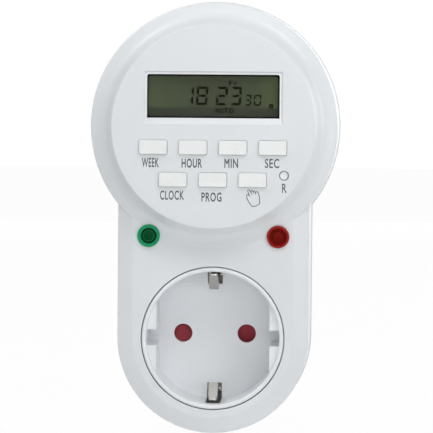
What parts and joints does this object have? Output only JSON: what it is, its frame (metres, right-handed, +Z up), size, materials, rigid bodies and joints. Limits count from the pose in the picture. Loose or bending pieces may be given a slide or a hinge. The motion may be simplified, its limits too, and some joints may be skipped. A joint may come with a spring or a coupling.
{
  "type": "plug-in timer switch",
  "caption": "Plug-in weekly timer switch: keyhole housing with display and press keys, side-earthed socket with shutter in front, round-pin plug behind.",
  "frame": {"origin": "on the axis of the socket and plug boss, in the plane where the housing's back meets the wall", "axes": "+Z up, from the socket towards the control head; the front faces -Y and the plug pins point to +Y, into the wall; +X to the right as seen from the front"},
  "size_m": [0.0738, 0.0754, 0.1276],
  "materials": {
    "shell_plastic": "light grey-white moulded thermoplastic, fine satin texture",
    "key_plastic": "off-white moulded thermoplastic, smooth satin",
    "clear_window": "clear polished acrylic",
    "lcd_cell": "liquid crystal cell, grey-green, unlit",
    "black_plastic": "black moulded plastic",
    "zebra_rubber": "layered conductive rubber",
    "mat_rubber": "grey silicone rubber",
    "circuit_board": "glass-fibre laminate under green solder resist",
    "battery_steel": "nickel-plated steel cell case",
    "spring_steel": "bare spring steel",
    "ribbon_vinyl": "grey flat cable",
    "relay_case": "dark blue moulded case",
    "film_capacitor_case": "yellow moulded case",
    "can_sleeve": "black shrink sleeve over an aluminium can",
    "resistor_coat": "blue-grey lacquer",
    "green_lens_plastic": "translucent green, polished",
    "red_lens_plastic": "translucent red, polished",
    "green_led_resin": "pale green epoxy",
    "red_led_resin": "pale red epoxy",
    "shutter_plastic": "dark red moulded thermoplastic",
    "carrier_plastic": "ivory moulded thermoset",
    "contact_brass": "bare sheet brass",
    "plated_metal": "nickel-plated brass",
    "brown_insulation": "brown wire insulation",
    "blue_insulation": "blue wire insulation",
    "screw_steel": "zinc-plated steel"
  },
  "bodies": {
    "timer": {"front_shell": "shell_plastic", "rear_shell": "shell_plastic", "socket_insert": "shell_plastic", "lcd_window": "clear_window", "lcd_glass": "lcd_cell", "lcd_holder": "black_plastic", "zebra_strip": "zebra_rubber", "control_board": "circuit_board", "controller_chip": "black_plastic", "keypad_mat": "mat_rubber", "backup_battery": "battery_steel", "battery_clip": "spring_steel", "board_ribbon": "ribbon_vinyl", "power_board": "circuit_board", "relay": "relay_case", "dropper_capacitor": "film_capacitor_case", "smoothing_capacitor": "can_sleeve", "power_resistor": "resistor_coat", "green_lens": "green_lens_plastic", "red_lens": "red_lens_plastic", "green_led": "green_led_resin", "red_led": "red_led_resin", "shutter_spring": "spring_steel", "contact_carrier": "carrier_plastic", "carrier_screws": "screw_steel", "line_contact": "contact_brass", "neutral_contact": "contact_brass", "earth_bracket": "plated_metal", "plug_pin_line": "plated_metal", "plug_pin_neutral": "plated_metal", "line_in_wire": "brown_insulation", "line_out_wire": "brown_insulation", "neutral_wire": "blue_insulation", "board_screws": "screw_steel", "housing_screws": "screw_steel"},
    "key_week": {"key_week": "key_plastic"},
    "key_hour": {"key_hour": "key_plastic"},
    "key_min": {"key_min": "key_plastic"},
    "key_sec": {"key_sec": "key_plastic"},
    "key_clock": {"key_clock": "key_plastic"},
    "key_prog": {"key_prog": "key_plastic"},
    "key_manual": {"key_manual": "key_plastic"},
    "reset_button": {"reset_button": "key_plastic"},
    "shutter": {"shutter_rotor": "shutter_plastic"}
  },
  "joints": [
    {"name": "key_week_press", "type": "slide", "parent": "timer", "child": "key_week", "axis": [0, 1, 0], "range_m": [0, 0.0009], "stiffness_N_per_m": 400, "springref_m": -0.001},
    {"name": "key_hour_press", "type": "slide", "parent": "timer", "child": "key_hour", "axis": [0, 1, 0], "range_m": [0, 0.0009], "stiffness_N_per_m": 400, "springref_m": -0.001},
    {"name": "key_min_press", "type": "slide", "parent": "timer", "child": "key_min", "axis": [0, 1, 0], "range_m": [0, 0.0009], "stiffness_N_per_m": 400, "springref_m": -0.001},
    {"name": "key_sec_press", "type": "slide", "parent": "timer", "child": "key_sec", "axis": [0, 1, 0], "range_m": [0, 0.0009], "stiffness_N_per_m": 400, "springref_m": -0.001},
    {"name": "key_clock_press", "type": "slide", "parent": "timer", "child": "key_clock", "axis": [0, 1, 0], "range_m": [0, 0.0009], "stiffness_N_per_m": 400, "springref_m": -0.001},
    {"name": "key_prog_press", "type": "slide", "parent": "timer", "child": "key_prog", "axis": [0, 1, 0], "range_m": [0, 0.0009], "stiffness_N_per_m": 400, "springref_m": -0.001},
    {"name": "key_manual_press", "type": "slide", "parent": "timer", "child": "key_manual", "axis": [0, 1, 0], "range_m": [0, 0.0009], "stiffness_N_per_m": 400, "springref_m": -0.001},
    {"name": "reset_press", "type": "slide", "parent": "timer", "child": "reset_button", "axis": [0, 1, 0], "range_m": [0, 0.0006], "stiffness_N_per_m": 400, "springref_m": -0.001},
    {"name": "shutter_turn", "type": "hinge", "parent": "timer", "child": "shutter", "pos_m": [0, 0, 0], "axis": [0, -1, 0], "range_deg": [0, 40], "stiffness_Nm_per_rad": 0.002, "springref_deg": -5.73}
  ]
}
